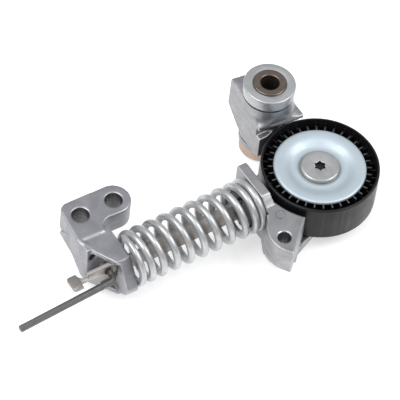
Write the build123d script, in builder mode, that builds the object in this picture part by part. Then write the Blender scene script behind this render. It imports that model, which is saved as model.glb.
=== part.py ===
"""Belt tensioner idler: a sprung arm with a smooth belt pulley, locked by a hex key.

Frame: the origin is on the arm's pivot axis, at the face that rests on the engine.
+Z points along the pivot axis, away from the engine. +X runs along the spring,
from the engine bracket towards the arm. All sizes are in millimetres.
"""
import os
from math import cos, radians, sin, tan

from build123d import *

os.makedirs("parts", exist_ok=True)

# ---------------------------------------------------------------- driving dimensions
# Pivot stack, bottom to top, all on the Z axis
PIVOT_BORE_R = 5.9
SLEEVE_R = 10.9
SLEEVE_TOP = 62.8
BASE_RING_R = 14.3
BASE_RING_TOP = 7.8
FRICTION_WASHER = 0.7
EDGE_BREAK = 0.6
COLLAR_R = 16.75
COLLAR_BOTTOM = 53.2
COLLAR_TOP = 61.8
RUNNING_FIT = 0.05
SLEEVE_EDGE_R = 0.9
BUSH_R = 12.6
BUSH_LENGTH = 19.0

# Arm hub
HUB_BOTTOM = BASE_RING_TOP + FRICTION_WASHER
HUB_TOP = COLLAR_BOTTOM - FRICTION_WASHER - RUNNING_FIT
HUB_R = 16.5
HUB_WAIST_R = 15.3
HUB_GROOVE_Z = 13.6
HUB_GROOVE_WIDTH, HUB_GROOVE_DEPTH = 0.7, 0.9
HUB_SHELF_Z = 41.0
HUB_LEFT, HUB_RIGHT = -15.2, 16.3
LUG_TOP, LUG_BOTTOM = 52.0, 18.0
SHELF_GAP = 0.8
WEB_TOP, WEB_FRONT_Y = 31.5, -16.5
LIP_RECESS_Y, LIP_RECESS_DEPTH = -11.8, 1.3
FLOOR_BOTTOM, FLOOR_TOP = 2.0, 8.8
BOSS_R = 12.0

# Pulley and its bearing
PULLEY_X, PULLEY_Y = 5.0, -55.0
PULLEY_R = 38.0
PULLEY_BOTTOM, PULLEY_TOP = 10.0, 37.0
RIM_THICKNESS = 1.5
RIB_COUNT = 36
RIB_THICKNESS = 0.9
BEARING_BOTTOM, BEARING_TOP = 13.0, 29.0
BEARING_BORE_R = 8.5
BEARING_R = 20.0
INNER_LAND_R, OUTER_LAND_R = 12.6, 16.4
BALL_R = 3.2
BALL_COUNT = 9
BALL_CIRCLE_R = 14.5
SHIELD_R = 29.7
SHIELD_SHEET = 0.8
SHIELD_FLAT_TOP = 35.4
SPACER_TOP = 32.0
BOLT_HEAD_R = 12.5
BOLT_HEAD_TOP = 35.6
BOLT_R = 5.0
BOLT_CLEARANCE = 0.1
DRIVE_R, DRIVE_LOBE_R, DRIVE_DEPTH = 3.1, 0.75, 2.6

# Spring and its seats
SPRING_Y, SPRING_Z = -53.7, 26.5
SPRING_MEAN_R = 15.75
WIRE_R = 2.25
SPRING_LEFT, SPRING_RIGHT = -137.0, -43.9
SPRING_TURNS = 10.0
BRACKET_SEAT_X = -137.3
BRACKET_SEAT_THICKNESS = 8.3
ARM_SEAT_X = -43.5
ARM_SEAT_THICKNESS = 7.0
ARM_SEAT_TOP = 39.5

# Strut blade on the spring's axis, and the hex key that locks it
BLADE_THICKNESS = 2.4
BLADE_HEIGHT = 18.0
BLADE_NECK_TOP, BLADE_NECK_BOTTOM = 32.2, 19.2
EYE_R = 3.9
EYE_HEIGHT = 14.0
BLADE_SHOULDER_X = -123.0
BLADE_END_X = -165.5
BLADE_PIN_X = -50.0
PIN_R = 2.0
KEY_X = -150.9
KEY_FLATS = 4.0
KEY_HOLE_R = 2.9
KEY_SHORT_LEG = 14.6
KEY_LONG_LEG = 70.0
KEY_BEND_R = 4.5
KEY_TURN = 3.0

# Engine bracket
BRACKET_TOP = 37.0
FLANGE_BOTTOM = 20.0
BOLT_HOLE_R = 5.5
BOLT_HOLE_Y = -15.75
BOLT_HOLE_NEAR_X, BOLT_HOLE_FAR_X = -124.2, -148.2
END_R = 11.0
RIB_X, RIB_THICKNESS_X = -160.3, 3.8
SIGHT_HOLE_R = 2.4
SLOT_WIDTH = 4.8
SLOT_Y = -53.4

# Lobe of the arm, with the tool hole that the arm is turned by
LOBE_BOTTOM, LOBE_TOP = 14.0, 34.0
TOOL_HOLE_R = 4.2
TOOL_HOLE_X, TOOL_HOLE_Y = -45.2, -90.2
PULLEY_RECESS_R = 41.2


def pipe(outer, inner, bottom, top):
    """A plain ring or tube on the part's own Z axis, added to the open part."""
    with BuildSketch(Plane.XY.offset(bottom)) as ring:
        Circle(outer)
        if inner > 0:
            Circle(inner, mode=Mode.SUBTRACT)
    extrude(ring.sketch, amount=top - bottom)


def save(part, name):
    """Label a finished piece and write it under its node name."""
    part.label = name
    export_step(part, f"parts/{name}.step")


# ---------------------------------------------------------------- pivot, bolted to the engine
with BuildPart() as pivot_sleeve:
    pipe(SLEEVE_R, PIVOT_BORE_R, 0, SLEEVE_TOP)
    rims = pivot_sleeve.edges().filter_by(GeomType.CIRCLE).group_by(Axis.Z)[-1]
    fillet(rims.sort_by(SortBy.RADIUS)[-1], SLEEVE_EDGE_R)
    chamfer(rims.sort_by(SortBy.RADIUS)[0], EDGE_BREAK)
save(pivot_sleeve.part, "pivot_sleeve")

with BuildPart() as pivot_base_ring:
    pipe(BASE_RING_R, SLEEVE_R, 0, BASE_RING_TOP)
    lower = pivot_base_ring.edges().filter_by(GeomType.CIRCLE).group_by(Axis.Z)[0]
    chamfer(lower.sort_by(SortBy.RADIUS)[-1], EDGE_BREAK / 3)
save(pivot_base_ring.part, "pivot_base_ring")

with BuildPart() as lower_friction_washer:
    pipe(BASE_RING_R - 0.5, SLEEVE_R, BASE_RING_TOP, HUB_BOTTOM - RUNNING_FIT)
save(lower_friction_washer.part, "lower_friction_washer")

with BuildPart() as upper_friction_washer:
    pipe(COLLAR_R - 1.0, SLEEVE_R, HUB_TOP + RUNNING_FIT, COLLAR_BOTTOM)
save(upper_friction_washer.part, "upper_friction_washer")

with BuildPart() as pivot_collar:
    pipe(COLLAR_R, SLEEVE_R, COLLAR_BOTTOM, COLLAR_TOP)
    outer_rims = pivot_collar.edges().filter_by(GeomType.CIRCLE).sort_by(SortBy.RADIUS)[-2:]
    chamfer(outer_rims, EDGE_BREAK)
save(pivot_collar.part, "pivot_collar")

with BuildPart() as lower_bush:
    pipe(BUSH_R, SLEEVE_R + RUNNING_FIT, HUB_BOTTOM, HUB_BOTTOM + BUSH_LENGTH)
save(lower_bush.part, "lower_bush")

with BuildPart() as upper_bush:
    pipe(BUSH_R, SLEEVE_R + RUNNING_FIT, HUB_TOP - BUSH_LENGTH, HUB_TOP)
save(upper_bush.part, "upper_bush")

# ---------------------------------------------------------------- arm casting
seat_left = ARM_SEAT_X
seat_right = ARM_SEAT_X + ARM_SEAT_THICKNESS
waist_bottom = HUB_GROOVE_Z + HUB_GROOVE_WIDTH
shelf_bottom = PULLEY_TOP + SHELF_GAP

with BuildPart() as arm_casting:
    # hub barrel: foot ring, groove, waist and boss
    pipe(HUB_WAIST_R, 0, HUB_BOTTOM, HUB_GROOVE_Z)
    pipe(HUB_WAIST_R - HUB_GROOVE_DEPTH, 0, HUB_GROOVE_Z, waist_bottom)
    pipe(HUB_WAIST_R, 0, waist_bottom, HUB_SHELF_Z)
    pipe(HUB_R, 0, HUB_SHELF_Z, HUB_TOP)
    # flat-sided body, with the shelf that faces the pulley
    with BuildSketch(Plane.XY.offset(waist_bottom)):
        with BuildLine():
            Polyline((HUB_LEFT, 3), (HUB_LEFT, -13.8), (HUB_RIGHT, -14.5), (HUB_RIGHT, 0), (0, 13), close=True)
        make_face()
    extrude(amount=HUB_SHELF_Z - waist_bottom)
    with BuildSketch(Plane.XY.offset(shelf_bottom)):
        with BuildLine():
            Polyline((HUB_LEFT, -8), (HUB_LEFT, -14.8), (HUB_RIGHT, -18.6), (HUB_RIGHT, -8), close=True)
        make_face()
    extrude(amount=HUB_SHELF_Z - shelf_bottom)
    # stop lug on the side away from the pulley, its underside sloping in to the waist
    with BuildSketch(Plane.XY.offset(LUG_TOP)):
        with BuildLine():
            Polyline((HUB_LEFT, 0), (-14.6, 21.6), (-4.8, 20.3), (5.0, 9.0), (5.0, 0), close=True)
        make_face()
    extrude(amount=LUG_BOTTOM - LUG_TOP)
    with BuildSketch(Plane.YZ.offset(-30)):
        with BuildLine():
            Polyline((6.0, LUG_BOTTOM - 2), (24.0, LUG_BOTTOM - 2), (24.0, LUG_BOTTOM + 13), close=True)
        make_face()
    extrude(amount=60, mode=Mode.SUBTRACT)
    pipe(HUB_WAIST_R, 0, waist_bottom, HUB_SHELF_Z)
    # recess under the shelf's lip
    with BuildSketch(Plane.XY.offset(WEB_TOP)):
        with Locations((0, LIP_RECESS_Y)):
            Rectangle(4 * HUB_R, HUB_R, align=(Align.CENTER, Align.MAX))
        Circle(HUB_WAIST_R - LIP_RECESS_DEPTH, mode=Mode.SUBTRACT)
    extrude(amount=shelf_bottom - WEB_TOP, mode=Mode.SUBTRACT)
    # floor under the pulley, out to the spring seat
    with BuildSketch(Plane.XY.offset(FLOOR_BOTTOM)):
        with BuildLine():
            Polyline((-9.0, -11.0), (-18.0, -24.0), (seat_left, -36.0), (seat_left, -66.0),
                     (-44.0, -78.0), (-30.0, -88.0), (PULLEY_X, PULLEY_Y - BOSS_R - 6),
                     (PULLEY_X + BOSS_R + 6, PULLEY_Y), (13.0, -8.0), close=True)
        make_face()
    extrude(amount=FLOOR_TOP - FLOOR_BOTTOM)
    # web that carries the floor up to the hub, in front of the base ring
    with BuildSketch(Plane.XY.offset(HUB_BOTTOM)):
        with BuildLine():
            Polyline((HUB_LEFT, -9.0), (HUB_LEFT, WEB_FRONT_Y), (12.0, WEB_FRONT_Y), (13.0, -8.0), close=True)
        make_face()
    extrude(amount=WEB_TOP - HUB_BOTTOM)
    with BuildSketch(Plane.XY.offset(0)):
        Circle(BASE_RING_R + 1.0)
    extrude(amount=HUB_BOTTOM, mode=Mode.SUBTRACT)
    with Locations((PULLEY_X, PULLEY_Y, FLOOR_BOTTOM)):
        Cylinder(BOSS_R, BEARING_BOTTOM - FLOOR_BOTTOM, align=(Align.CENTER, Align.CENTER, Align.MIN))
    # spring seat plate, square to the spring
    with BuildSketch(Plane.YZ.offset(seat_left)):
        with BuildLine():
            Polyline((-32.0, 4.0), (-32.0, ARM_SEAT_TOP), (-59.5, ARM_SEAT_TOP), (-66.0, LOBE_TOP),
                     (-72.0, LOBE_TOP), (-74.0, 12.0), (-66.0, 4.0), close=True)
        make_face()
    extrude(amount=ARM_SEAT_THICKNESS)
    # lobe with the tool hole
    with BuildSketch(Plane.XY.offset(LOBE_BOTTOM)):
        with BuildLine():
            Polyline((seat_right, -62.0), (seat_left, -66.0), (-47.6, -74.6))
            ThreePointArc((-47.6, -74.6), (-53.9, -88.4), (-47.2, -103.5))
            Polyline((-47.2, -103.5), (-22.0, -81.0), (seat_right, -62.0))
        make_face()
    extrude(amount=LOBE_TOP - LOBE_BOTTOM)
    # skirt that ties the lobe to the floor
    with BuildSketch(Plane.XY.offset(FLOOR_BOTTOM)):
        with BuildLine():
            Polyline((seat_right, -62.0), (seat_left, -66.0), (-48.5, -76.0), (-46.0, -90.0),
                     (-34.0, -92.0), (-26.0, -84.0), close=True)
        make_face()
    extrude(amount=LOBE_BOTTOM - FLOOR_BOTTOM)
    # room for the pulley
    with BuildSketch(Plane.XY.offset(FLOOR_TOP)):
        with Locations((PULLEY_X, PULLEY_Y)):
            Circle(PULLEY_RECESS_R)
            Circle(BOSS_R, mode=Mode.SUBTRACT)
    extrude(amount=shelf_bottom - FLOOR_TOP, mode=Mode.SUBTRACT)
    # bores
    with BuildSketch(Plane.XY.offset(0)):
        Circle(BUSH_R)
    extrude(amount=COLLAR_TOP, mode=Mode.SUBTRACT)
    with Locations((TOOL_HOLE_X, TOOL_HOLE_Y, 0)):
        Cylinder(TOOL_HOLE_R, 2 * LOBE_TOP + 4, mode=Mode.SUBTRACT)
    with Locations((PULLEY_X, PULLEY_Y, 0)):
        Cylinder(BOLT_R, 4 * BEARING_BOTTOM, mode=Mode.SUBTRACT)
save(arm_casting.part, "arm_casting")

# ---------------------------------------------------------------- spring seat insert and blade pin
SEAT_INSERT_R = 12.2
SEAT_INSERT_LENGTH = 13.0
SEAT_INSERT_LEAD = 2.2
BLADE_SWING = 19.0
SIDE_CLEARANCE = 0.4

with BuildPart() as arm_spring_seat:
    with BuildSketch(Plane.YZ.offset(seat_left)):
        with Locations((SPRING_Y, SPRING_Z)):
            Circle(SEAT_INSERT_R)
    extrude(amount=-SEAT_INSERT_LENGTH)
    mouth_rim = arm_spring_seat.edges().filter_by(GeomType.CIRCLE).sort_by(Axis.X)[0]
    chamfer(mouth_rim, SEAT_INSERT_LEAD)
    # slot that lets the blade swing to one side
    slot_back = BLADE_PIN_X + 1.0
    slot_mouth = seat_left - SEAT_INSERT_LENGTH - 1
    half = BLADE_THICKNESS / 2 + SIDE_CLEARANCE
    sweep_y = (slot_back - slot_mouth) * tan(radians(BLADE_SWING))
    with BuildSketch(Plane.XY.offset(SPRING_Z - BLADE_HEIGHT)):
        with BuildLine():
            Polyline((slot_back, SPRING_Y + half), (slot_mouth, SPRING_Y + half),
                     (slot_mouth, SPRING_Y - half - sweep_y), (slot_back, SPRING_Y - half - 1.6),
                     close=True)
        make_face()
    extrude(amount=2 * BLADE_HEIGHT, mode=Mode.SUBTRACT)
    with Locations((BLADE_PIN_X, SPRING_Y, SPRING_Z)):
        Cylinder(EYE_R + SIDE_CLEARANCE, EYE_HEIGHT + 2 * SIDE_CLEARANCE, mode=Mode.SUBTRACT)
        Cylinder(PIN_R, 2 * SEAT_INSERT_R, mode=Mode.SUBTRACT)
save(arm_spring_seat.part, "arm_spring_seat")

with BuildPart() as blade_pin:
    with Locations((BLADE_PIN_X, SPRING_Y, SPRING_Z)):
        Cylinder(PIN_R, 2 * (SEAT_INSERT_R - 1.6))
save(blade_pin.part, "blade_pin")

# ---------------------------------------------------------------- pulley
hub_ring_r = BEARING_R + 4.0
rim_inner_r = PULLEY_R - RIM_THICKNESS
web_low, web_high = 21.5, 25.0
rib_step_r = SHIELD_R + 0.6
rib_low_top, rib_high_top = 32.6, 34.4

with BuildPart() as pulley_body:
    with BuildSketch(Plane.XZ):
        with Locations((0, 0)):
            with BuildLine():
                Polyline((BEARING_R, BEARING_BOTTOM), (BEARING_R, BEARING_TOP), (BEARING_R + 1, rib_low_top),
                         (hub_ring_r, rib_low_top), (hub_ring_r, web_high), (rim_inner_r, web_high),
                         (rim_inner_r, PULLEY_TOP), (PULLEY_R, PULLEY_TOP), (PULLEY_R, PULLEY_BOTTOM),
                         (rim_inner_r, PULLEY_BOTTOM), (rim_inner_r, web_low), (hub_ring_r, web_low),
                         (hub_ring_r, BEARING_BOTTOM), close=True)
            make_face()
    revolve(axis=Axis.Z)
    edge_rims = pulley_body.edges().filter_by(GeomType.CIRCLE).sort_by(SortBy.RADIUS)[-2:]
    fillet(edge_rims, 1.0)
    # radial ribs above and below the web
    with BuildSketch(Plane.XY.offset(web_high)):
        with PolarLocations((hub_ring_r + rim_inner_r) / 2, RIB_COUNT):
            Rectangle(rim_inner_r - hub_ring_r + 0.4, RIB_THICKNESS)
    extrude(amount=rib_low_top - web_high)
    with BuildSketch(Plane.XY.offset(web_high)):
        with PolarLocations((rib_step_r + rim_inner_r) / 2, RIB_COUNT):
            Rectangle(rim_inner_r - rib_step_r + 0.4, RIB_THICKNESS)
    extrude(amount=rib_high_top - web_high)
    with BuildSketch(Plane.XY.offset(BEARING_BOTTOM)):
        with PolarLocations((hub_ring_r + rim_inner_r) / 2, RIB_COUNT):
            Rectangle(rim_inner_r - hub_ring_r + 0.4, RIB_THICKNESS)
    extrude(amount=web_low - BEARING_BOTTOM)
PULLEY_PLACE = Location((PULLEY_X, PULLEY_Y, 0))
save(pulley_body.part.moved(PULLEY_PLACE), "pulley_body")

# ---------------------------------------------------------------- ball bearing
race_z = (BEARING_BOTTOM + BEARING_TOP) / 2
groove_r = BALL_R + 0.05
race_plane = Plane.XY.offset(race_z)

with BuildPart() as bearing_outer_ring:
    pipe(BEARING_R, OUTER_LAND_R, BEARING_BOTTOM, BEARING_TOP)
    with Locations((0, 0, race_z)):
        Torus(BALL_CIRCLE_R, groove_r, mode=Mode.SUBTRACT)
save(bearing_outer_ring.part.moved(PULLEY_PLACE), "bearing_outer_ring")

with BuildPart() as bearing_inner_ring:
    pipe(INNER_LAND_R, BEARING_BORE_R, BEARING_BOTTOM, BEARING_TOP)
    with Locations((0, 0, race_z)):
        Torus(BALL_CIRCLE_R, groove_r, mode=Mode.SUBTRACT)
save(bearing_inner_ring.part.moved(PULLEY_PLACE), "bearing_inner_ring")

with BuildPart() as bearing_balls:
    with Locations(race_plane):
        with PolarLocations(BALL_CIRCLE_R, BALL_COUNT):
            Sphere(BALL_R)
save(bearing_balls.part.moved(PULLEY_PLACE), "bearing_balls")

with BuildPart() as bearing_cage:
    pipe(OUTER_LAND_R - 0.6, INNER_LAND_R + 0.6, race_z - 4.4, race_z + 4.4)
    with Locations(race_plane):
        with PolarLocations(BALL_CIRCLE_R, BALL_COUNT):
            Cylinder(BALL_R + 0.15, 8, rotation=(0, 90, 0), mode=Mode.SUBTRACT)
save(bearing_cage.part.moved(PULLEY_PLACE), "bearing_cage")

with BuildPart() as bearing_seal_front:
    pipe(OUTER_LAND_R, INNER_LAND_R + 0.3, BEARING_TOP - 2.0, BEARING_TOP - 0.6)
save(bearing_seal_front.part.moved(PULLEY_PLACE), "bearing_seal_front")

with BuildPart() as bearing_seal_back:
    pipe(OUTER_LAND_R, INNER_LAND_R + 0.3, BEARING_BOTTOM + 0.6, BEARING_BOTTOM + 2.0)
save(bearing_seal_back.part.moved(PULLEY_PLACE), "bearing_seal_back")

# ---------------------------------------------------------------- pulley fixings
with BuildPart() as pulley_spacer:
    pipe(BEARING_BORE_R, BOLT_R + BOLT_CLEARANCE, BEARING_BOTTOM, BEARING_TOP)
    pipe(INNER_LAND_R - EDGE_BREAK, BOLT_R + BOLT_CLEARANCE, BEARING_TOP, SPACER_TOP)
save(pulley_spacer.part.moved(PULLEY_PLACE), "pulley_spacer")

dish_r, dish_wall_r, shoulder_r = 14.5, 19.5, 25.5
with BuildPart() as dust_shield:
    with BuildSketch(Plane.XZ):
        with BuildLine():
            Polyline((BOLT_R + BOLT_CLEARANCE, SPACER_TOP), (dish_r, SPACER_TOP),
                     (dish_wall_r, SHIELD_FLAT_TOP - SHIELD_SHEET), (shoulder_r, SHIELD_FLAT_TOP - SHIELD_SHEET),
                     (SHIELD_R, SHIELD_FLAT_TOP - SHIELD_SHEET - 1), (SHIELD_R, SHIELD_FLAT_TOP - 1),
                     (shoulder_r, SHIELD_FLAT_TOP), (dish_wall_r, SHIELD_FLAT_TOP),
                     (dish_r, SPACER_TOP + SHIELD_SHEET), (BOLT_R + BOLT_CLEARANCE, SPACER_TOP + SHIELD_SHEET),
                     close=True)
        make_face()
    revolve(axis=Axis.Z)
save(dust_shield.part.moved(PULLEY_PLACE), "dust_shield")

with BuildPart() as pulley_bolt:
    head_bottom = SPACER_TOP + SHIELD_SHEET
    pipe(BOLT_HEAD_R, 0, head_bottom, BOLT_HEAD_TOP)
    head_rims = pulley_bolt.edges().filter_by(GeomType.CIRCLE).sort_by(Axis.Z)
    fillet(head_rims[-1], 1.2)
    pipe(BOLT_R - 0.02, 0, FLOOR_BOTTOM - 3, head_bottom)
    with BuildSketch(Plane.XY.offset(BOLT_HEAD_TOP)):
        Circle(DRIVE_R)
        with PolarLocations(DRIVE_R, 6):
            Circle(DRIVE_LOBE_R)
    extrude(amount=-DRIVE_DEPTH, mode=Mode.SUBTRACT)
save(pulley_bolt.part.moved(PULLEY_PLACE), "pulley_bolt")

# ---------------------------------------------------------------- coil spring
spring_length = SPRING_RIGHT - SPRING_LEFT - 2 * WIRE_R
with BuildPart() as coil_spring:
    with BuildLine():
        coil = Helix(spring_length / SPRING_TURNS, spring_length, SPRING_MEAN_R,
                     center=(SPRING_LEFT + WIRE_R, SPRING_Y, SPRING_Z), direction=(1, 0, 0))
    with BuildSketch(Plane(origin=coil @ 0, z_dir=coil % 0)):
        Circle(WIRE_R)
    sweep(path=coil, is_frenet=True)
save(coil_spring.part, "coil_spring")

# ---------------------------------------------------------------- strut blade
blade_back = SPRING_Y + BLADE_THICKNESS / 2
blade_top, blade_bottom = SPRING_Z + BLADE_HEIGHT / 2, SPRING_Z - BLADE_HEIGHT / 2
tab_outer, tab_inner, tab_tip = -177.4, -170.8, -167.6
tab_back, tab_front = SPRING_Y + 5.9, SPRING_Y - 4.7
with BuildPart() as strut_blade:
    with BuildSketch(Plane.XZ.offset(-blade_back)):
        with BuildLine():
            Polyline((BLADE_PIN_X, SPRING_Z - EYE_HEIGHT / 2), (BLADE_PIN_X, SPRING_Z + EYE_HEIGHT / 2),
                     (BLADE_PIN_X - 8, blade_top), (BLADE_SHOULDER_X, blade_top),
                     (BLADE_SHOULDER_X - 2, BLADE_NECK_TOP), (BLADE_END_X, BLADE_NECK_TOP),
                     (BLADE_END_X, SPRING_Z - 1.5), (BLADE_END_X + 6, BLADE_NECK_BOTTOM),
                     (BLADE_SHOULDER_X - 2, BLADE_NECK_BOTTOM), (BLADE_SHOULDER_X, blade_bottom),
                     (BLADE_PIN_X - 8, blade_bottom), close=True)
        make_face()
    extrude(amount=BLADE_THICKNESS)
    with Locations(Location((KEY_X, SPRING_Y, SPRING_Z), (90, 0, 0))):
        Cylinder(KEY_HOLE_R, 4 * BLADE_THICKNESS, mode=Mode.SUBTRACT)
    # rolled eye around the pin
    with Locations((BLADE_PIN_X, SPRING_Y, SPRING_Z)):
        Cylinder(EYE_R, EYE_HEIGHT)
        Cylinder(PIN_R + RUNNING_FIT, 2 * BLADE_HEIGHT, mode=Mode.SUBTRACT)
    # the end tab is twisted flat, beyond a thin neck
    with Locations(((BLADE_END_X + tab_tip) / 2 - 0.6, SPRING_Y, SPRING_Z)):
        Box(BLADE_END_X - tab_tip + 2.4, BLADE_THICKNESS, BLADE_THICKNESS)
    with BuildSketch(Plane.XY.offset(SPRING_Z - BLADE_THICKNESS / 2 + 0.2)) as tab:
        with BuildLine():
            Polyline((tab_outer, tab_back), (tab_inner, tab_back), (tab_inner + 0.4, tab_back - 2.4),
                     (tab_tip, SPRING_Y + 0.6), (tab_tip, SPRING_Y - 0.8), (tab_inner, SPRING_Y - 1.8),
                     (tab_inner, tab_front), (tab_outer, tab_front), close=True)
        make_face()
        fillet(tab.vertices().group_by(Axis.X)[0], 1.8)
    extrude(amount=BLADE_THICKNESS - 0.4)
save(strut_blade.part, "strut_blade")

# ---------------------------------------------------------------- hex key
key_turn = radians(KEY_TURN)
key_out = (sin(key_turn), -cos(key_turn))
key_inner = (KEY_X - 6.0 * key_out[0], SPRING_Y - 6.0 * key_out[1], SPRING_Z)
key_corner = (key_inner[0] + KEY_SHORT_LEG * key_out[0], key_inner[1] + KEY_SHORT_LEG * key_out[1], SPRING_Z)
key_tip = (key_corner[0] + KEY_LONG_LEG * key_out[1], key_corner[1] - KEY_LONG_LEG * key_out[0], SPRING_Z)
with BuildPart() as hex_key:
    with BuildLine() as key_path:
        FilletPolyline(key_inner, key_corner, key_tip, radius=KEY_BEND_R)
    with BuildSketch(Plane(origin=key_inner, x_dir=(0, 0, 1), z_dir=(key_out[0], key_out[1], 0))):
        RegularPolygon(KEY_FLATS / 2, 6, major_radius=False)
    sweep(path=key_path.wires()[0])
save(hex_key.part, "hex_key")

# ---------------------------------------------------------------- engine bracket
seat_back_x = BRACKET_SEAT_X - BRACKET_SEAT_THICKNESS
seat_top = BRACKET_TOP - 1
pocket_bottom, wall = 6.0, 3.5
flange_near_y = BOLT_HOLE_Y - END_R + 0.4
with BuildPart() as bracket_casting:
    # flange with the two bolt holes
    with BuildSketch(Plane.XY.offset(FLANGE_BOTTOM)):
        with BuildLine():
            Polyline((RIB_X, -32.5), (-157.5, -8.0))
            ThreePointArc((-157.5, -8.0), (-155.2, -4.6), (-151.5, -3.2))
            Line((-151.5, -3.2), (BOLT_HOLE_NEAR_X, -3.8))
            ThreePointArc((BOLT_HOLE_NEAR_X, -3.8), (BOLT_HOLE_NEAR_X + END_R + 0.5, BOLT_HOLE_Y + 0.4),
                          (BOLT_HOLE_NEAR_X, flange_near_y))
            Line((BOLT_HOLE_NEAR_X, flange_near_y), (-133.0, flange_near_y + 0.6))
            ThreePointArc((-133.0, flange_near_y + 0.6), (-138.6, -28.2), (-141.0, -33.5))
            Line((-141.0, -33.5), (RIB_X, -32.5))
        make_face()
    extrude(amount=BRACKET_TOP - FLANGE_BOTTOM)
    # spring seat plate
    with BuildSketch(Plane.YZ.offset(seat_back_x)):
        with BuildLine():
            Line((-30.0, seat_top), (-57.8, seat_top))
            Line((-57.8, seat_top), (-69.3, 18.0))
            ThreePointArc((-69.3, 18.0), (-66.0, 10.5), (-58.0, 7.5))
            Polyline((-58.0, 7.5), (-48.0, 7.5), (-38.0, 16.0), (-30.0, 20.5), (-30.0, seat_top))
        make_face()
    extrude(amount=BRACKET_SEAT_THICKNESS)
    # cover between flange and seat
    with BuildSketch(Plane.XY.offset(seat_top - wall)):
        with BuildLine():
            Polyline((-159.8, -31.0), (seat_back_x, -31.0), (seat_back_x, -57.8), (-147.5, -57.8),
                     (RIB_X, -34.5), close=True)
        make_face()
    extrude(amount=wall)
    # outer rib and pocket floor
    with BuildSketch(Plane.YZ.offset(RIB_X)):
        with BuildLine():
            Polyline((-12.0, FLANGE_BOTTOM + 4), (-12.0, FLANGE_BOTTOM + 1.0), (-25.0, 18.0), (-36.0, 15.5),
                     (-42.8, 9.0), (-43.2, 11.5), (-37.5, 22.0), (-34.3, seat_top), (-30.0, seat_top),
                     close=True)
        make_face()
    extrude(amount=RIB_THICKNESS_X)
    with BuildSketch(Plane.XY.offset(pocket_bottom)):
        with BuildLine():
            Polyline((RIB_X + 1, -36.0), (RIB_X + 1, -41.8), (-146.5, -61.0), (-139.0, -62.0),
                     (-139.0, -46.0), (-148.0, -36.0), close=True)
        make_face()
    extrude(amount=wall)
    # back wall of the pocket, with a gusset under the flange
    pocket_left, pocket_width = RIB_X + 1.1, 19.6
    with Locations((pocket_left + pocket_width / 2, -38.5, (pocket_bottom + seat_top) / 2)):
        Box(pocket_width, 6.6, seat_top - pocket_bottom)
    with BuildSketch(Plane.YZ.offset(pocket_left)):
        with BuildLine():
            Polyline((-36.0, pocket_bottom), (-36.0, FLANGE_BOTTOM + 2), (-16.0, FLANGE_BOTTOM + 2),
                     close=True)
        make_face()
    extrude(amount=pocket_width)
    # slot for the blade, sight hole, and bolt holes
    slot_middle_z = (BLADE_NECK_TOP + BLADE_NECK_BOTTOM) / 2
    with Locations((BRACKET_SEAT_X - BRACKET_SEAT_THICKNESS / 2, SLOT_Y, slot_middle_z)):
        Box(3 * BRACKET_SEAT_THICKNESS, SLOT_WIDTH, BLADE_NECK_TOP - BLADE_NECK_BOTTOM + 1.0,
            mode=Mode.SUBTRACT)
    with Locations(Location((-154.3, -40.0, 27.5), (90, 0, 0))):
        Cylinder(SIGHT_HOLE_R, 14.0, mode=Mode.SUBTRACT)
    with Locations((BOLT_HOLE_NEAR_X, BOLT_HOLE_Y), (BOLT_HOLE_FAR_X, BOLT_HOLE_Y)):
        Cylinder(BOLT_HOLE_R, 4 * BRACKET_TOP, mode=Mode.SUBTRACT)
save(bracket_casting.part, "bracket_casting")
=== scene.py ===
"""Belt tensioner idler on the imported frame: castings, coil spring, pulley and hex key, in a plain studio.

Lengths are written in millimetres and turned into metres by MM. The origin is on the arm's pivot
axis at the engine's face, +Z points away from the engine and +X from the bracket to the arm.
"""
from math import cos, pi, radians, sin

import bmesh
import bpy
import numpy as np
from mathutils import Matrix, Vector


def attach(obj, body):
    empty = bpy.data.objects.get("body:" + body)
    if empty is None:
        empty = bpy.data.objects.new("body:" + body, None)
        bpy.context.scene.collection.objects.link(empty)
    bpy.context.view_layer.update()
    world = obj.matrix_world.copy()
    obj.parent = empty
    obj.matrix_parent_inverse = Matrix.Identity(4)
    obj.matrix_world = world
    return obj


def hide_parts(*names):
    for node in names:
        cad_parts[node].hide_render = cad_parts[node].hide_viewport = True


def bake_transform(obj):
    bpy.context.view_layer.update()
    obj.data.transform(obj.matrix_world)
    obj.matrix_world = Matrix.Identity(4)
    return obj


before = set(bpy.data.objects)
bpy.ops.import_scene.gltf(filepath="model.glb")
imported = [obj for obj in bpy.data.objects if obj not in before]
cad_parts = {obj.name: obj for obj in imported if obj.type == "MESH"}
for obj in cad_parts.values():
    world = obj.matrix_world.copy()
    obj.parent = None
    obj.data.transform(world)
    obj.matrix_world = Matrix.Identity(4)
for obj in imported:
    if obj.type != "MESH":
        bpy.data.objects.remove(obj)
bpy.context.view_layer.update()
MM = 0.001
PIVOT = (0.0, 0.0)
PULLEY = (5.0, -55.0)
SPRING_Y, SPRING_Z = -53.7, 26.5
TOOL_HOLE, TOOL_HOLE_R = (-45.2, -90.2), 4.2
BOLT_NEAR, BOLT_FAR, BOLT_HOLE_R = (-124.2, -15.75), (-148.2, -15.75), 5.5
FLANGE_BOTTOM, FLANGE_TOP, BOLT_CHAMFER = 20.1, 36.9, 0.45
LOBE_BOTTOM, LOBE_TOP, TOOL_CHAMFER = 2.0, 33.9, 0.7
BLADE_PIN = (-50.0, SPRING_Y)
BOLT_HEAD_TOP, DRIVE_R = 35.6, 4.2
FLOOR_LEVEL, FLOOR_HALF = -0.0011, 3.0
CAMERA_PLACE, LENS, SENSOR = (-0.79397, -0.94324, 1.50557), 270.0, 36.0


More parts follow.
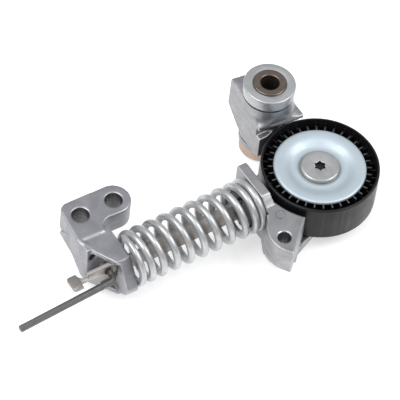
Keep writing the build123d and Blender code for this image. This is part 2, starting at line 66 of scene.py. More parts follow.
# ---------------------------------------------------------------- camera
def add_camera():
    """A long lens from the front left, tipped a little clockwise."""
    azimuth, elevation, roll = radians(-38.5), radians(51.9), radians(7.5)
    data = bpy.data.cameras.new("camera")
    data.sensor_width = SENSOR
    data.lens = LENS
    data.clip_start, data.clip_end = 0.05, 20.0
    camera = bpy.data.objects.new("camera", data)
    bpy.context.scene.collection.objects.link(camera)
    back = Vector((sin(azimuth) * cos(elevation), -cos(azimuth) * cos(elevation), sin(elevation)))
    turn = (-back).to_track_quat("-Z", "Y").to_matrix() @ Matrix.Rotation(roll, 3, "Z")
    camera.matrix_world = Matrix.Translation(Vector(CAMERA_PLACE)) @ turn.to_4x4()
    bpy.context.scene.camera = camera


add_camera()


# ---------------------------------------------------------------- node helpers for materials
def new_material(name, color, metallic, roughness):
    material = bpy.data.materials.new(name)
    material.use_nodes = True
    tree = material.node_tree
    shader = tree.nodes["Principled BSDF"]
    shader.inputs["Base Color"].default_value = (*color, 1)
    shader.inputs["Metallic"].default_value = metallic
    shader.inputs["Roughness"].default_value = roughness
    return material, tree, shader


def row_coords(tree):
    """Coordinates of the part's own frame, in metres, so the grain keeps its real size."""
    return tree.nodes.new("ShaderNodeTexCoord").outputs["Object"]


def scaled(tree, coords, scale, shift=(0, 0, 0)):
    mapping = tree.nodes.new("ShaderNodeMapping")
    mapping.inputs["Scale"].default_value = scale
    mapping.inputs["Location"].default_value = shift
    tree.links.new(coords, mapping.inputs["Vector"])
    return mapping.outputs["Vector"]


def noise(tree, coords, size_mm, detail=4.0, distortion=0.0):
    """Cloudy noise whose features are about size_mm across."""
    texture = tree.nodes.new("ShaderNodeTexNoise")
    texture.inputs["Scale"].default_value = 1000.0 / size_mm
    texture.inputs["Detail"].default_value = detail
    texture.inputs["Distortion"].default_value = distortion
    tree.links.new(coords, texture.inputs["Vector"])
    return texture.outputs["Fac"]


def mapped(tree, value, low, high, out_low, out_high):
    node = tree.nodes.new("ShaderNodeMapRange")
    for key, number in zip(("From Min", "From Max", "To Min", "To Max"), (low, high, out_low, out_high)):
        node.inputs[key].default_value = number
    tree.links.new(value, node.inputs["Value"])
    return node.outputs["Result"]


def both_of(tree, first, second):
    """Where two masks are both on."""
    product = tree.nodes.new("ShaderNodeMath")
    product.operation = "MULTIPLY"
    tree.links.new(first, product.inputs[0])
    tree.links.new(second, product.inputs[1])
    return product.outputs[0]


def mixed(tree, factor, first, second, mode="MIX"):
    """Colour mix. first and second are sockets or plain colours."""
    node = tree.nodes.new("ShaderNodeMix")
    node.data_type = "RGBA"
    node.blend_type = mode
    for socket, value in ((node.inputs[0], factor), (node.inputs[6], first), (node.inputs[7], second)):
        if isinstance(value, (int, float)):
            socket.default_value = value
        elif isinstance(value, tuple):
            socket.default_value = (*value, 1)
        else:
            tree.links.new(value, socket)
    return node.outputs[2]


def bumped(tree, shader, layers):
    """Stacks bump layers, each (height socket, depth in mm, strength), into the shader's normal."""
    last = None
    for height, depth, strength in layers:
        node = tree.nodes.new("ShaderNodeBump")
        node.inputs["Distance"].default_value = depth * MM
        node.inputs["Strength"].default_value = strength
        tree.links.new(height, node.inputs["Height"])
        if last:
            tree.links.new(last, node.inputs["Normal"])
        last = node.outputs["Normal"]
    tree.links.new(last, shader.inputs["Normal"])


def radius_from(tree, centre):
    """Distance from a vertical axis, in metres."""
    moved = scaled(tree, row_coords(tree), (1, 1, 0), (-centre[0] * MM, -centre[1] * MM, 0))
    length = tree.nodes.new("ShaderNodeVectorMath")
    length.operation = "LENGTH"
    tree.links.new(moved, length.inputs[0])
    return length.outputs["Value"]


def height_above(tree):
    split = tree.nodes.new("ShaderNodeSeparateXYZ")
    tree.links.new(row_coords(tree), split.inputs[0])
    return split.outputs["Z"]


def turned_rings(tree, centre, pitch_mm):
    """Fine lathe lines: noise that changes only with the radius and the height."""
    joined = tree.nodes.new("ShaderNodeCombineXYZ")
    tree.links.new(radius_from(tree, centre), joined.inputs[0])
    tree.links.new(height_above(tree), joined.inputs[2])
    return noise(tree, joined.outputs[0], pitch_mm, 3.0)


# Lightens convex edges found by pointiness: partly rubbed wear, partly a painted highlight along the edges.
def edge_wear_and_highlight(tree, low=0.52, high=0.60):
    geometry = tree.nodes.new("ShaderNodeNewGeometry")
    return mapped(tree, geometry.outputs["Pointiness"], low, high, 0.0, 1.0)


# ---------------------------------------------------------------- materials
def cast_aluminium(name, light, dark, holes):
    """Blasted die casting: a fine grain, soft flow marks and lighter edges, partly rubbed wear and partly a painted
    highlight.
    """
    material, tree, shader = new_material(name, light, 0.85, 0.45)
    coords = row_coords(tree)
    cloud = noise(tree, coords, 16.0, 5.0, 0.6)
    grain = noise(tree, coords, 0.7, 3.0)
    flow = noise(tree, scaled(tree, coords, (0.4, 1.0, 1.6)), 5.0, 6.0, 1.2)
    color = mixed(tree, mapped(tree, cloud, 0.35, 0.65, 0, 1), dark, light)
    color = mixed(tree, mapped(tree, flow, 0.42, 0.75, 0, 0.45), color, tuple(c * 0.78 for c in dark))
    color = mixed(tree, mapped(tree, grain, 0.3, 0.7, 0.0, 0.22), color, tuple(min(1, c * 1.15) for c in light))
    # Lighter edges: partly rubbed wear, partly a painted highlight.
    color = mixed(tree, edge_wear_and_highlight(tree), color, (0.72, 0.72, 0.73))
    # Painted shade: the bores of the holes are painted dark to stand in for the shade inside them.
    for centre, radius in holes:
        wall = mapped(tree, radius_from(tree, centre), (radius + 0.12) * MM, (radius + 0.3) * MM, 1, 0)
        hole_painted_shade = mixed(tree, mapped(tree, grain, 0.35, 0.65, 0, 1), (0.09, 0.09, 0.095), (0.20, 0.20, 0.205))
        color = mixed(tree, wall, color, hole_painted_shade)
    tree.links.new(color, shader.inputs["Base Color"])
    tree.links.new(mapped(tree, flow, 0.3, 0.8, 0.34, 0.52), shader.inputs["Roughness"])
    bumped(tree, shader, [(flow, 0.12, 0.5), (noise(tree, coords, 2.2, 3.0), 0.06, 0.5), (grain, 0.03, 0.6)])
    return material


def spring_coat():
    """Satin silver coating over drawn wire."""
    material, tree, shader = new_material("spring_coat", (0.52, 0.53, 0.53), 0.7, 0.33)
    coords = row_coords(tree)
    mottle = noise(tree, coords, 6.0, 6.0, 0.4)
    speck = noise(tree, coords, 0.8, 2.0)
    color = mixed(tree, mapped(tree, mottle, 0.35, 0.7, 0, 1), (0.57, 0.58, 0.58), (0.45, 0.46, 0.46))
    color = mixed(tree, mapped(tree, speck, 0.66, 0.76, 0, 0.5), color, (0.30, 0.29, 0.27))
    tree.links.new(color, shader.inputs["Base Color"])
    tree.links.new(mapped(tree, mottle, 0.3, 0.7, 0.30, 0.44), shader.inputs["Roughness"])
    bumped(tree, shader, [(mottle, 0.05, 0.4), (speck, 0.02, 0.5)])
    return material


def turned_metal(name, color, shade, centre, metallic=0.9, roughness=0.3, pitch=0.35, recess_painted_shade=None):
    """Lathe-turned metal with fine rings about its own axis and light stains."""
    material, tree, shader = new_material(name, color, metallic, roughness)
    coords = row_coords(tree)
    rings = turned_rings(tree, centre, pitch)
    stain = noise(tree, coords, 7.0, 5.0, 0.5)
    tint = mixed(tree, mapped(tree, stain, 0.35, 0.7, 0, 1), color, shade)
    tint = mixed(tree, mapped(tree, rings, 0.4, 0.7, 0, 0.25), tint, tuple(c * 0.7 for c in shade))
    # Lighter edges: partly rubbed wear, partly a painted highlight.
    tint = mixed(tree, edge_wear_and_highlight(tree), tint, tuple(min(1, c * 1.35) for c in color))
    # Painted shade: the drive recess in the bolt head is painted near black to stand in for the shade inside it.
    if recess_painted_shade:
        radius, top = recess_painted_shade
        near = mapped(tree, radius_from(tree, centre), radius * MM, (radius + 0.1) * MM, 1, 0)
        below = mapped(tree, height_above(tree), (top - 0.7) * MM, (top - 0.2) * MM, 1, 0)
        tint = mixed(tree, both_of(tree, near, below), tint, (0.05, 0.05, 0.05))
    tree.links.new(tint, shader.inputs["Base Color"])
    tree.links.new(mapped(tree, rings, 0.3, 0.7, roughness - 0.06, roughness + 0.12), shader.inputs["Roughness"])
    bumped(tree, shader, [(rings, 0.02, 0.35), (noise(tree, coords, 0.9, 2.0), 0.01, 0.4)])
    return material


def strip_steel():
    """Rolled strip, with faint lines along its length and heat-tinted patches."""
    material, tree, shader = new_material("strip_steel", (0.34, 0.31, 0.29), 0.8, 0.36)
    coords = row_coords(tree)
    lines = noise(tree, scaled(tree, coords, (0.03, 1, 1)), 0.5, 3.0)
    patch = noise(tree, coords, 11.0, 4.0, 0.8)
    color = mixed(tree, mapped(tree, patch, 0.35, 0.7, 0, 1), (0.32, 0.30, 0.285), (0.25, 0.22, 0.20))
    color = mixed(tree, mapped(tree, lines, 0.45, 0.75, 0, 0.3), color, (0.22, 0.20, 0.18))
    # Lighter edges: partly rubbed wear, partly a painted highlight.
    color = mixed(tree, edge_wear_and_highlight(tree), color, (0.42, 0.40, 0.38))
    tree.links.new(color, shader.inputs["Base Color"])
    tree.links.new(mapped(tree, patch, 0.3, 0.7, 0.30, 0.46), shader.inputs["Roughness"])
    bumped(tree, shader, [(lines, 0.02, 0.5), (noise(tree, coords, 1.4, 3.0), 0.02, 0.4)])
    return material


def black_oxide():
    """Oiled black key steel, lighter on its edges, partly rubbed wear and partly a painted highlight."""
    material, tree, shader = new_material("black_oxide", (0.07, 0.07, 0.07), 0.5, 0.42)
    coords = row_coords(tree)
    lines = noise(tree, scaled(tree, coords, (0.06, 1, 1)), 0.6, 3.0)
    patch = noise(tree, coords, 5.0, 4.0)
    color = mixed(tree, mapped(tree, patch, 0.35, 0.7, 0, 1), (0.085, 0.083, 0.08), (0.05, 0.05, 0.05))
    color = mixed(tree, mapped(tree, lines, 0.5, 0.8, 0, 0.4), color, (0.13, 0.13, 0.13))
    # Lighter edges: partly rubbed wear, partly a painted highlight.
    color = mixed(tree, edge_wear_and_highlight(tree), color, (0.24, 0.24, 0.24))
    tree.links.new(color, shader.inputs["Base Color"])
    tree.links.new(mapped(tree, patch, 0.3, 0.7, 0.34, 0.5), shader.inputs["Roughness"])
    bumped(tree, shader, [(lines, 0.02, 0.4), (noise(tree, coords, 0.7, 2.0), 0.015, 0.5)])
    return material


def zinc_sheet():
    """Bluish bright zinc on pressed sheet, with faint drawing marks round the dish and a dark ring of painted shade in
    the gap round the bolt head.
    """
    material, tree, shader = new_material("zinc_sheet", (0.50, 0.57, 0.61), 0.5, 0.34)
    coords = row_coords(tree)
    rings = turned_rings(tree, PULLEY, 1.6)
    haze = noise(tree, coords, 14.0, 5.0, 0.4)
    # Painted shade: a dark ring on the shield in the gap round the bolt head, where shade falls.
    bolt_gap_painted_shade = mapped(tree, radius_from(tree, PULLEY), 0.0125, 0.0150, 1.0, 0.0)
    color = mixed(tree, mapped(tree, haze, 0.35, 0.7, 0, 1), (0.52, 0.60, 0.65), (0.46, 0.54, 0.59))
    color = mixed(tree, mapped(tree, rings, 0.45, 0.75, 0, 0.2), color, (0.60, 0.66, 0.69))
    color = mixed(tree, bolt_gap_painted_shade, color, (0.20, 0.22, 0.20))
    tree.links.new(color, shader.inputs["Base Color"])
    tree.links.new(mapped(tree, haze, 0.3, 0.7, 0.40, 0.52), shader.inputs["Roughness"])
    bumped(tree, shader, [(rings, 0.02, 0.3), (noise(tree, coords, 1.1, 3.0), 0.012, 0.4)])
    return material


def moulded(name, color, dark, roughness, grain_mm, depth_mm):
    """Moulded plastic or rubber with a fine spark-eroded grain."""
    material, tree, shader = new_material(name, color, 0.0, roughness)
    coords = row_coords(tree)
    grain = noise(tree, coords, grain_mm, 3.0)
    cloud = noise(tree, coords, 9.0, 4.0)
    tint = mixed(tree, mapped(tree, cloud, 0.35, 0.7, 0, 1), color, dark)
    # Lighter edges: partly rubbed wear, partly a painted highlight.
    tint = mixed(tree, edge_wear_and_highlight(tree, 0.53, 0.62), tint, tuple(min(1, c * 3 + 0.02) for c in color))
    tree.links.new(tint, shader.inputs["Base Color"])
    tree.links.new(mapped(tree, cloud, 0.3, 0.7, roughness - 0.06, roughness + 0.08), shader.inputs["Roughness"])
    bumped(tree, shader, [(grain, depth_mm, 0.5), (cloud, 0.03, 0.3)])
    return material


def pulley_nylon():
    """Black glass-filled nylon. The narrow tops of the ribs are painted pale: a painted highlight along each rib."""
    material, tree, shader = new_material("black_nylon", (0.008, 0.008, 0.009), 0.0, 0.38)
    shader.inputs["Specular IOR Level"].default_value = 0.32
    coords = row_coords(tree)
    cloud = noise(tree, coords, 9.0, 4.0)
    top = mapped(tree, height_above(tree), 34.28 * MM, 34.40 * MM, 0, 1)
    inside = mapped(tree, radius_from(tree, PULLEY), 33.2 * MM, 34.6 * MM, 1, 0)
    above = mapped(tree, height_above(tree), 34.5 * MM, 34.6 * MM, 1, 0)
    rib_top_painted_highlight = both_of(tree, both_of(tree, top, inside), above)
    color = mixed(tree, mapped(tree, cloud, 0.35, 0.7, 0, 1), (0.008, 0.008, 0.009), (0.004, 0.004, 0.005))
    # Painted highlight: the narrow rib tops are painted pale.
    color = mixed(tree, rib_top_painted_highlight, color, (0.065, 0.065, 0.07))
    tree.links.new(color, shader.inputs["Base Color"])
    tree.links.new(mapped(tree, cloud, 0.3, 0.7, 0.30, 0.42), shader.inputs["Roughness"])
    bumped(tree, shader, [(noise(tree, coords, 0.5, 3.0), 0.012, 0.4), (cloud, 0.02, 0.3)])
    return material


arm_metal = cast_aluminium("cast_aluminium_arm", (0.41, 0.41, 0.42), (0.31, 0.31, 0.32),
                           ((TOOL_HOLE, TOOL_HOLE_R),))
bracket_metal = cast_aluminium("cast_aluminium_bracket", (0.40, 0.40, 0.42), (0.30, 0.30, 0.32),
                               ((BOLT_NEAR, BOLT_HOLE_R), (BOLT_FAR, BOLT_HOLE_R)))
materials = {
    "spring_coat": spring_coat(),
    "strip_steel": strip_steel(),
    "black_oxide": black_oxide(),
    "zinc_sheet": zinc_sheet(),
    "black_nylon": pulley_nylon(),
    "seat_polymer": moulded("seat_polymer", (0.12, 0.12, 0.125), (0.07, 0.07, 0.075), 0.45, 0.6, 0.03),
    "friction_polymer": moulded("friction_polymer", (0.06, 0.055, 0.05), (0.04, 0.035, 0.03), 0.5, 0.4, 0.02),
    "cage_polymer": moulded("cage_polymer", (0.50, 0.44, 0.33), (0.42, 0.36, 0.26), 0.5, 0.5, 0.02),
    "seal_rubber": moulded("seal_rubber", (0.025, 0.025, 0.025), (0.015, 0.015, 0.015), 0.6, 0.4, 0.02),
    "collar": turned_metal("collar_metal", (0.54, 0.55, 0.56), (0.46, 0.47, 0.48), PIVOT, 0.85, 0.38),
    "tinted_steel": turned_metal("tinted_steel", (0.215, 0.175, 0.15), (0.16, 0.13, 0.11), PIVOT, 0.9, 0.28),
    "base_bronze": turned_metal("base_bronze", (0.50, 0.395, 0.32), (0.41, 0.32, 0.255), PIVOT, 0.7, 0.38, 0.6),
    "bush_bronze": turned_metal("bush_bronze", (0.50, 0.38, 0.24), (0.42, 0.31, 0.2), PIVOT, 0.8, 0.4, 0.6),
    "fixing": turned_metal("fixing_steel", (0.56, 0.57, 0.56), (0.46, 0.47, 0.46), PULLEY, 0.85, 0.34,
                           recess_painted_shade=(DRIVE_R, BOLT_HEAD_TOP)),
    "bearing_steel": turned_metal("bearing_steel", (0.55, 0.55, 0.56), (0.46, 0.46, 0.47), PULLEY, 0.95, 0.2),
    "pin_steel": turned_metal("pin_steel", (0.58, 0.58, 0.58), (0.48, 0.48, 0.48), BLADE_PIN, 0.9, 0.3),
}


# ---------------------------------------------------------------- mesh helpers
def new_object(name, mesh):
    thing = bpy.data.objects.new(name, mesh)
    bpy.context.scene.collection.objects.link(thing)
    return thing


def from_bmesh(name, bm):
    bmesh.ops.recalc_face_normals(bm, faces=bm.faces)
    mesh = bpy.data.meshes.new(name)
    bm.to_mesh(mesh)
    bm.free()
    return new_object(name, mesh)


def node_bmesh(node):
    """The CAD node's mesh, with its split corners joined."""
    bm = bmesh.new()
    bm.from_mesh(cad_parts[node].data)
    bmesh.ops.remove_doubles(bm, verts=bm.verts, dist=2e-6)
    return bm


def apply_modifiers(thing):
    """Bakes the modifiers into the mesh and removes them."""
    depsgraph = bpy.context.evaluated_depsgraph_get()
    depsgraph.update()
    mesh = bpy.data.meshes.new_from_object(thing.evaluated_get(depsgraph))
    thing.modifiers.clear()
    thing.data = mesh
    return thing


def smooth(thing, angle=35.0):
    thing.data.shade_smooth()
    thing.data.set_sharp_from_angle(angle=radians(angle))


def finish_piece(thing, body, slot, material, *replaced):
    thing.data.materials.clear()
    thing.data.materials.append(material)
    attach(thing, body)
    if replaced:
        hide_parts(*replaced)
    return thing


def softened(node, name, width_mm, segments=2, angle=28.0):
    """A copy of a CAD node with small rounded edges in real geometry."""
    bm = node_bmesh(node)
    bmesh.ops.dissolve_limit(bm, angle_limit=radians(0.5), verts=bm.verts, edges=bm.edges)
    thing = from_bmesh(name, bm)
    bevel = thing.modifiers.new("edges", "BEVEL")
    bevel.width = width_mm * MM
    bevel.segments = segments
    bevel.limit_method = "ANGLE"
    bevel.angle_limit = radians(angle)
    bevel.use_clamp_overlap = True
    apply_modifiers(thing)
    smooth(thing, 40.0)
    return thing


def turned(name, profile, centre, steps=160):
    """A solid of revolution about a vertical axis. profile is a closed loop of (radius, z)."""
    bm = bmesh.new()
    rings = []
    for i in range(steps):
        a = 2 * pi * i / steps
        rings.append([bm.verts.new(((centre[0] + r * cos(a)) * MM, (centre[1] + r * sin(a)) * MM, z * MM))
                      for r, z in profile])
    count = len(profile)
    for i in range(steps):
        here, there = rings[i], rings[(i + 1) % steps]
        for k in range(count):
            bm.faces.new((here[k], there[k], there[(k + 1) % count], here[(k + 1) % count]))
    return from_bmesh(name, bm)


def prism(bm, outline, low, high):
    """Adds an upright prism over an outline of (x, y)."""
    bottom = [bm.verts.new((x * MM, y * MM, low * MM)) for x, y in outline]
    top = [bm.verts.new((x * MM, y * MM, high * MM)) for x, y in outline]
    bm.faces.new(bottom[::-1])
    bm.faces.new(top)
    count = len(outline)
    for i in range(count):
        bm.faces.new((bottom[i], bottom[(i + 1) % count], top[(i + 1) % count], top[i]))


def rod(bm, points, radii, steps=16):
    """Adds a round bar through points, with its own radius at each."""
    path = [Vector(p) for p in points]
    rings = []
    for i, p in enumerate(path):
        along = (path[min(i + 1, len(path) - 1)] - path[max(i - 1, 0)]).normalized()
        side = along.cross(Vector((0, 0, 1))).normalized()
        over = side.cross(along)
        turns = [2 * pi * k / steps for k in range(steps)]
        rings.append([bm.verts.new((p + radii[i] * (side * cos(t) + over * sin(t))) * MM) for t in turns])
    for a, b in zip(rings, rings[1:]):
        for k in range(steps):
            bm.faces.new((a[k], a[(k + 1) % steps], b[(k + 1) % steps], b[k]))
    bm.faces.new(rings[0])
    bm.faces.new(rings[-1][::-1])


def drill(name, centre, radius, low, high, chamfer=0.0, steps=72):
    """A hidden cutter: a cylinder that opens out by chamfer at both faces, low and high."""
    reach = 3.0
    bm = bmesh.new()
    outline = [(0, low - reach), (radius + chamfer + reach * (chamfer > 0), low - reach), (radius, low + chamfer),
               (radius, high - chamfer), (radius + chamfer + reach * (chamfer > 0), high + reach), (0, high + reach)]
    rings = []
    for r, z in outline[1:-1]:
        rings.append([bm.verts.new(((centre[0] + r * cos(2 * pi * k / steps)) * MM,
                                    (centre[1] + r * sin(2 * pi * k / steps)) * MM, z * MM)) for k in range(steps)])
    for a, b in zip(rings, rings[1:]):
        for k in range(steps):
            bm.faces.new((a[k], a[(k + 1) % steps], b[(k + 1) % steps], b[k]))
    bm.faces.new(rings[0][::-1])
    bm.faces.new(rings[-1])
    return from_bmesh(name, bm)


def sector_cutter(name, centre, inner, outer, low, high, start=0, end=360):
    """A hidden cutter: a flat ring, or a sector of one between two angles in degrees."""
    whole = end - start == 360
    count = max(8, round((end - start) / 4))
    bm = bmesh.new()
    rings = []
    for k in range(count if whole else count + 1):
        a = radians(start + (end - start) * k / count)
        rings.append([bm.verts.new(((centre[0] + r * cos(a)) * MM, (centre[1] + r * sin(a)) * MM, z * MM))
                      for r, z in ((inner, low), (outer, low), (outer, high), (inner, high))])
    pairs = list(zip(rings, rings[1:])) + ([(rings[-1], rings[0])] if whole else [])
    for here, there in pairs:
        for k in range(4):
            bm.faces.new((here[k], there[k], there[(k + 1) % 4], here[(k + 1) % 4]))
    if not whole:
        bm.faces.new(rings[0])
        bm.faces.new(rings[-1][::-1])
    return from_bmesh(name, bm)


def machined(thing, cutters):
    """Cuts each cutter away and removes it."""
    for cutter in cutters:
        cut = thing.modifiers.new("machine", "BOOLEAN")
        cut.operation = "DIFFERENCE"
        cut.solver = "EXACT"
        cut.object = cutter
    apply_modifiers(thing)
    for cutter in cutters:
        bpy.data.objects.remove(cutter)
    return thing


def cast(node, name, add, cutters, voxel_mm=0.6, rounds=5):
    """A casting: the CAD solid and its extra ribs grown together, rounded all over, then machined."""
    bm = node_bmesh(node)
    add(bm)
    thing = from_bmesh(name, bm)
    remesh = thing.modifiers.new("grow", "REMESH")
    remesh.mode = "VOXEL"
    remesh.voxel_size = voxel_mm * MM
    relax = thing.modifiers.new("round", "SMOOTH")
    relax.factor = 0.5
    relax.iterations = rounds
    machined(apply_modifiers(thing), cutters)
    smooth(thing, 42.0)
    return thing


# ---------------------------------------------------------------- arm casting
def arm_details(bm):
    """Step round the foot of the lobe, a thick lip on the hub's shelf and its fillet."""
    prism(bm, [(-43.6, -66.0), (-48.2, -75.0), (-53.0, -81.0), (-54.6, -88.4), (-53.0, -95.5), (-47.6, -103.9),
               (-40.0, -97.0), (-36.0, -86.0)], 14.0, 19.0)
    rod(bm, [(-13.2, -14.2, 39.2), (0.0, -16.1, 39.4), (15.6, -17.9, 39.4)], [0.9, 1.3, 1.3])
    shelf_fillet(bm)


SHELF_LEFT, SHELF_RIGHT = -15.0, 16.1
SHELF_FRONT, SHELF_FRONT_X, SHELF_SLOPE = -14.6, -15.2, 3.8 / 31.5
FILLET_START, FILLET_END, FILLET_STEPS = 196, 344, 28


def shelf_fillet(bm):
    """Concave fillet from the round boss down to the shelf, kept inside the shelf's outline."""
    profile = [(14.0, 47.5), (16.4, 47.0), (16.7, 45.0), (17.4, 43.2), (18.8, 41.9), (21.5, 41.1), (21.5, 39.5),
               (14.0, 39.5)]
    rings = []
    for k in range(FILLET_STEPS + 1):
        a = radians(FILLET_START + k * (FILLET_END - FILLET_START) / FILLET_STEPS)
        ring = []
        for r, z in profile:
            x = min(max(r * cos(a), SHELF_LEFT), SHELF_RIGHT)
            front = SHELF_FRONT - SHELF_SLOPE * (x - SHELF_FRONT_X)
            ring.append(bm.verts.new((x * MM, max(r * sin(a), front) * MM, z * MM)))
        rings.append(ring)
    count = len(profile)
    for here, there in zip(rings, rings[1:]):
        for k in range(count):
            bm.faces.new((here[k], there[k], there[(k + 1) % count], here[(k + 1) % count]))
    bm.faces.new(rings[0])
    bm.faces.new(rings[-1][::-1])


def spring_relief(name, radius, left, right):
    """A hidden cutter: a cylinder along the spring, which leaves room for its last coil beside the lobe."""
    bm = bmesh.new()
    place = Matrix.Translation(Vector(((left + right) / 2, SPRING_Y, SPRING_Z)) * MM) @ Matrix.Rotation(pi / 2, 4, "Y")
    bmesh.ops.create_cone(bm, cap_ends=True, segments=96, radius1=radius * MM, radius2=radius * MM,
                          depth=(right - left) * MM, matrix=place)
    return from_bmesh(name, bm)


arm = cast("arm_casting", "arm_cast", arm_details, [
    drill("cut_hub", PIVOT, 12.6, 0.0, 60.0),
    drill("cut_tool_hole", TOOL_HOLE, TOOL_HOLE_R, LOBE_BOTTOM, LOBE_TOP, TOOL_CHAMFER),
    drill("cut_bolt_hole", PULLEY, 5.0, 0.0, 20.0),
    sector_cutter("cut_base_ring", PIVOT, 10.0, 15.6, -3.0, 8.45),
    sector_cutter("cut_foot_groove", PIVOT, 14.3, 19.0, 13.4, 14.5, 90, 232),
    sector_cutter("cut_web_foot", PIVOT, 15.35, 30.0, 2.0, 14.5, 203, 240),
    spring_relief("cut_spring_relief", 18.4, -62.0, -43.8),
    sector_cutter("cut_collar_gap", PIVOT, 15.2, 26.0, 51.8, 56.0),
    sector_cutter("cut_eject_mark", (-37.7, -74.4), 2.8, 3.4, 33.4, 36.0),
])
finish_piece(arm, "arm", "cast_aluminium", arm_metal, "arm_casting")


# ---------------------------------------------------------------- engine bracket
def bracket_details(bm):
    """The curved ridge over the window, and the round edge of the outer rib."""
    rod(bm, [(-158.6, -32.6, 35.4), (-154.4, -40.6, 35.0), (-150.2, -49.4, 34.6), (-146.0, -57.0, 34.2)],
        [1.5, 1.2, 1.2, 1.5])
    rod(bm, [(-158.6, -32.6, 34.8), (-158.4, -36.6, 24.0), (-158.4, -42.2, 11.5)], [2.0, 1.7, 1.5])


bracket = cast("bracket_casting", "bracket_cast", bracket_details, [
    drill("cut_bolt_near", BOLT_NEAR, BOLT_HOLE_R, FLANGE_BOTTOM, FLANGE_TOP, BOLT_CHAMFER),
    drill("cut_bolt_far", BOLT_FAR, BOLT_HOLE_R, FLANGE_BOTTOM, FLANGE_TOP, BOLT_CHAMFER),
], rounds=10)
finish_piece(bracket, "mounting", "cast_aluminium", bracket_metal, "bracket_casting")


# ---------------------------------------------------------------- coil spring
COIL_ANGLES = [60.0, 220.5, 401.5, 580.5, 761.5, 940.5, 1121.5, 1300.5, 1481.5, 1660.5, 1841.5, 2020.5, 2201.5,
               2380.5, 2561.5, 2740.5, 2921.5, 3100.5, 3281.5, 3460.5, 3641.5, 3820.0, 3890.0]
COIL_PLACES = [-136.4, -134.65, -131.1, -127.1, -123.1, -118.65, -113.7, -108.75, -103.65, -98.7, -93.6, -88.6,
               -83.5, -78.6, -73.45, -68.5, -63.4, -58.6, -54.4, -51.1, -48.4, -46.3, -46.3]
COIL_R, WIRE_R = 15.6, 2.4
COIL_LEFT, COIL_RIGHT = -137.0, -43.9


def build_spring():
    """Right-handed coil with closed ends, ground flat against both seats."""
    step = 4.0
    angles = np.arange(COIL_ANGLES[0], COIL_ANGLES[-1] + 0.1, step)
    places = np.interp(angles, COIL_ANGLES, COIL_PLACES)
    window = np.hanning(31)
    padded = np.concatenate((np.full(15, places[0]), places, np.full(15, places[-1])))
    places = np.convolve(padded, window / window.sum(), mode="valid")
    sides = 24
    bm = bmesh.new()
    rings = []
    for angle, x in zip(np.radians(angles), places):
        out = Vector((0, cos(angle), sin(angle)))
        ring = []
        for k in range(sides):
            turn = 2 * pi * k / sides
            place = Vector((x, SPRING_Y, SPRING_Z)) + out * (COIL_R + WIRE_R * cos(turn))
            place += Vector((WIRE_R * sin(turn), 0, 0))
            place.x = min(max(place.x, COIL_LEFT), COIL_RIGHT)
            ring.append(bm.verts.new(place * MM))
        rings.append(ring)
    for a, b in zip(rings, rings[1:]):
        for k in range(sides):
            bm.faces.new((a[k], a[(k + 1) % sides], b[(k + 1) % sides], b[k]))
    bm.faces.new(rings[0])
    bm.faces.new(rings[-1][::-1])
    spring = from_bmesh("coil_spring_wound", bm)
    smooth(spring, 50.0)
    spring.data.materials.append(materials["spring_coat"])
    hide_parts("coil_spring")
    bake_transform(spring)


build_spring()

# ---------------------------------------------------------------- dust shield
shield_top = [(29.7, 34.3), (29.5, 34.8), (29.0, 35.2), (28.0, 35.45), (26.6, 35.5), (25.0, 35.45), (23.4, 35.2),
              (22.0, 34.75), (20.8, 34.2), (19.4, 33.45), (18.0, 32.8), (16.6, 32.45), (15.2, 32.4), (14.2, 32.6),
              (13.6, 32.8), (5.2, 32.8)]
shield_bottom = [(5.2, 32.0), (16.0, 32.0), (18.2, 32.3), (20.2, 33.1), (22.4, 34.2), (24.6, 34.7), (27.6, 34.6),
                 (28.9, 34.2), (29.1, 33.7), (29.7, 33.7)]
shield = turned("dust_shield_pressed", shield_top + shield_bottom, PULLEY)
smooth(shield, 50.0)
finish_piece(shield, "arm", "zinc_sheet", materials["zinc_sheet"], "dust_shield")

# ---------------------------------------------------------------- pulley, its ribs stepped down towards the rim
pulley = machined(softened("pulley_body", "pulley_body_edged", 0.26), [
    sector_cutter("cut_rib_step", PULLEY, 33.2, 36.45, 31.6, 40.0)])
smooth(pulley, 40.0)
finish_piece(pulley, "pulley", "black_nylon", materials["black_nylon"], "pulley_body")

# ---------------------------------------------------------------- pieces with rounded edges
for node, body, slot, look, width in (
        ("pulley_bolt", "arm", "turned_steel", "fixing", 0.14),
        ("pulley_spacer", "arm", "turned_steel", "fixing", 0.2),
        ("pivot_collar", "mounting", "turned_steel", "collar", 0.25),
        ("pivot_sleeve", "mounting", "tinted_steel", "tinted_steel", 0.3),
        ("pivot_base_ring", "mounting", "bronze", "base_bronze", 0.3),
        ("arm_spring_seat", "arm", "seat_polymer", "seat_polymer", 0.3),
        ("strut_blade", "blade", "strip_steel", "strip_steel", 0.3),
        ("hex_key", "key", "black_oxide", "black_oxide", 0.25)):
    finish_piece(softened(node, node + "_edged", width), body, slot, materials[look], node)

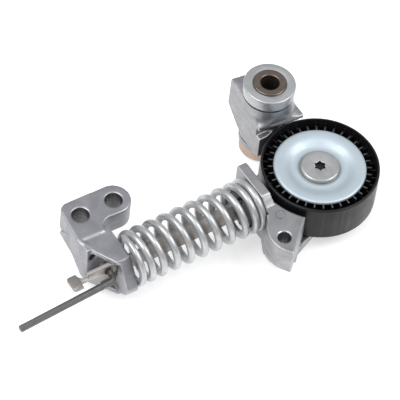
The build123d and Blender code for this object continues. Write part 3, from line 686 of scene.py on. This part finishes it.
# ---------------------------------------------------------------- CAD pieces that stay, with their finish
for node, look in (
        ("lower_bush", "bush_bronze"), ("upper_bush", "bush_bronze"), ("blade_pin", "pin_steel"),
        ("lower_friction_washer", "friction_polymer"), ("upper_friction_washer", "friction_polymer"),
        ("bearing_inner_ring", "bearing_steel"), ("bearing_outer_ring", "bearing_steel"),
        ("bearing_balls", "bearing_steel"), ("bearing_cage", "cage_polymer"),
        ("bearing_seal_front", "seal_rubber"), ("bearing_seal_back", "seal_rubber"),
        ("coil_spring", "spring_coat"), ("dust_shield", "zinc_sheet")):
    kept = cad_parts[node]
    kept.data.materials.clear()
    kept.data.materials.append(materials[look])


# ---------------------------------------------------------------- studio
def add_floor():
    bm = bmesh.new()
    half = FLOOR_HALF
    corners = ((-half, -half), (half, -half), (half, half), (-half, half))
    bm.faces.new([bm.verts.new((x, y, FLOOR_LEVEL)) for x, y in corners])
    floor = from_bmesh("studio_floor", bm)
    material, _, shader = new_material("studio_white", (0.72, 0.72, 0.72), 0.0, 0.6)
    shader.inputs["Emission Color"].default_value = (1, 1, 1, 1)
    shader.inputs["Emission Strength"].default_value = 0.50
    floor.data.materials.append(material)


def add_light(name, place, aim, size, power, color=(1, 1, 1)):
    data = bpy.data.lights.new(name, "AREA")
    data.shape = "SQUARE"
    data.size = size
    data.energy = power
    data.color = color
    light = bpy.data.objects.new(name, data)
    bpy.context.scene.collection.objects.link(light)
    light.location = place
    light.rotation_euler = (Vector(aim) - Vector(place)).to_track_quat("-Z", "Y").to_euler()


def add_world():
    world = bpy.data.worlds.new("studio")
    world.use_nodes = True
    tree = world.node_tree
    background = tree.nodes["Background"]
    up = tree.nodes.new("ShaderNodeSeparateXYZ")
    tree.links.new(tree.nodes.new("ShaderNodeTexCoord").outputs["Generated"], up.inputs[0])
    sky = mixed(tree, mapped(tree, up.outputs["Z"], 0.0, 0.75, 0, 1), (0.22, 0.22, 0.23), (0.80, 0.81, 0.84))
    tree.links.new(sky, background.inputs["Color"])
    background.inputs["Strength"].default_value = 0.8
    bpy.context.scene.world = world


add_floor()
add_world()
middle = (-0.06, -0.04, 0.0)
add_light("key", (-0.9, 0.2, 1.5), middle, 1.3, 18.0)
add_light("fill", (0.8, -0.75, 1.3), middle, 1.0, 13.0)
bpy.context.scene.view_settings.view_transform = "Standard"
